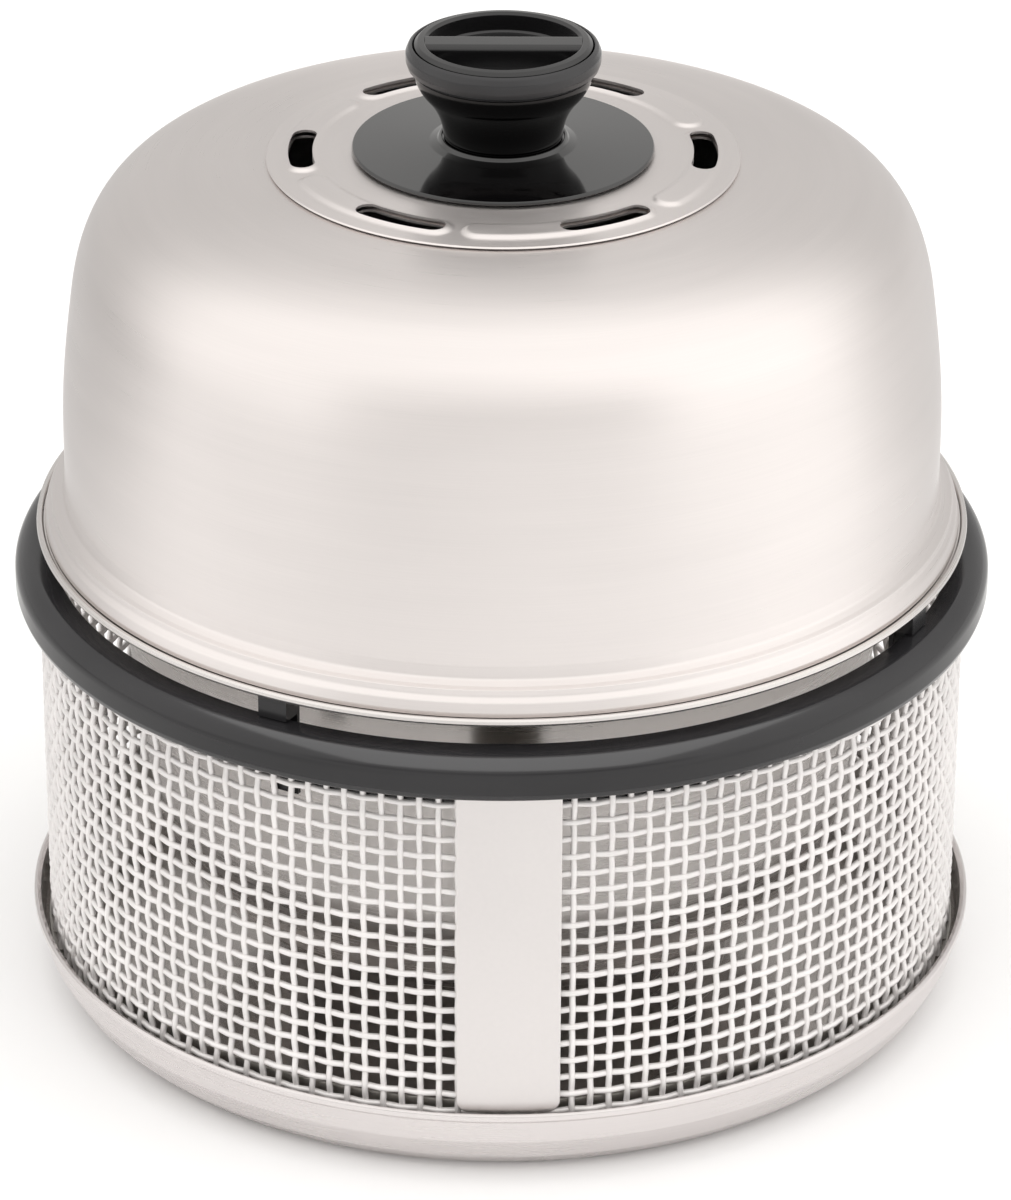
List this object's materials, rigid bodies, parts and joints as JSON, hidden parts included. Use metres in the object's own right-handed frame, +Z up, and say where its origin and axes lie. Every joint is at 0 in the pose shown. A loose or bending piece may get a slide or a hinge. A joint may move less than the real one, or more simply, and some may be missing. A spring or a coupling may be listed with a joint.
{
  "type": "portable charcoal grill",
  "caption": "Round tabletop charcoal grill: woven-mesh base, lift-out bowl, charcoal basket with bail, grill plate, and a domed lid with a knob and a rotating vent ring.",
  "frame": {"origin": "centre of the underside of the base pan, on the surface that the grill stands on", "axes": "+Z up along the lid's and the bowl's common axis; the seam plate faces -Y"},
  "size_m": [0.32, 0.32, 0.3268],
  "materials": {
    "brushed_stainless": "brushed",
    "polished_stainless": "polished",
    "stainless_wire": "bright drawn wire",
    "plain_steel": "satin",
    "satin_black": "satin",
    "satin_grey": "satin",
    "gloss_black": "gloss",
    "non_stick": "matt non-stick coating",
    "brass": "satin"
  },
  "bodies": {
    "base": {"base_pan": "brushed_stainless", "mesh_bottom_hoop": "plain_steel", "mesh_screen": "stainless_wire", "mesh_top_hoop": "satin_black", "seam_plate": "brushed_stainless", "seam_backing": "plain_steel", "rim_ring": "satin_black", "rim_lug_1": "satin_black", "rim_lug_2": "satin_black", "rim_lug_3": "satin_black", "rim_lug_4": "satin_black", "lug_screw_1": "plain_steel", "lug_screw_2": "plain_steel", "lug_screw_3": "plain_steel", "lug_screw_4": "plain_steel"},
    "bowl": {"inner_bowl": "polished_stainless"},
    "basket": {"fire_basket": "plain_steel", "basket_ear_left": "plain_steel", "basket_ear_right": "plain_steel"},
    "bail": {"basket_bail": "plain_steel"},
    "grill": {"grill_plate": "non_stick"},
    "lid": {"lid_dome": "brushed_stainless", "pivot_plate": "plain_steel", "knob_disc": "gloss_black", "knob_body": "gloss_black", "knob_rim": "satin_grey", "knob_cap": "gloss_black", "knob_insert": "brass", "lid_washer": "plain_steel", "lid_bolt": "plain_steel"},
    "damper": {"damper_ring": "brushed_stainless"}
  },
  "joints": [
    {"name": "bowl_lift", "type": "slide", "parent": "base", "child": "bowl", "axis": [0, 0, 1], "range_m": [0, 0.11]},
    {"name": "basket_lift", "type": "slide", "parent": "bowl", "child": "basket", "axis": [0, 0, 1], "range_m": [0, 0.1]},
    {"name": "bail_swing", "type": "hinge", "parent": "basket", "child": "bail", "pos_m": [0, 0, 0.1213], "axis": [-1, 0, 0], "range_deg": [0, 180]},
    {"name": "grill_lift", "type": "slide", "parent": "basket", "child": "grill", "axis": [0, 0, 1], "range_m": [0, 0.06]},
    {"name": "lid_lift", "type": "slide", "parent": "grill", "child": "lid", "axis": [0, 0, 1], "range_m": [0, 0.12]},
    {"name": "damper_turn", "type": "hinge", "parent": "lid", "child": "damper", "pos_m": [0, 0, 0.2885], "axis": [0, 0, 1], "range_deg": [0, 27.5]}
  ]
}
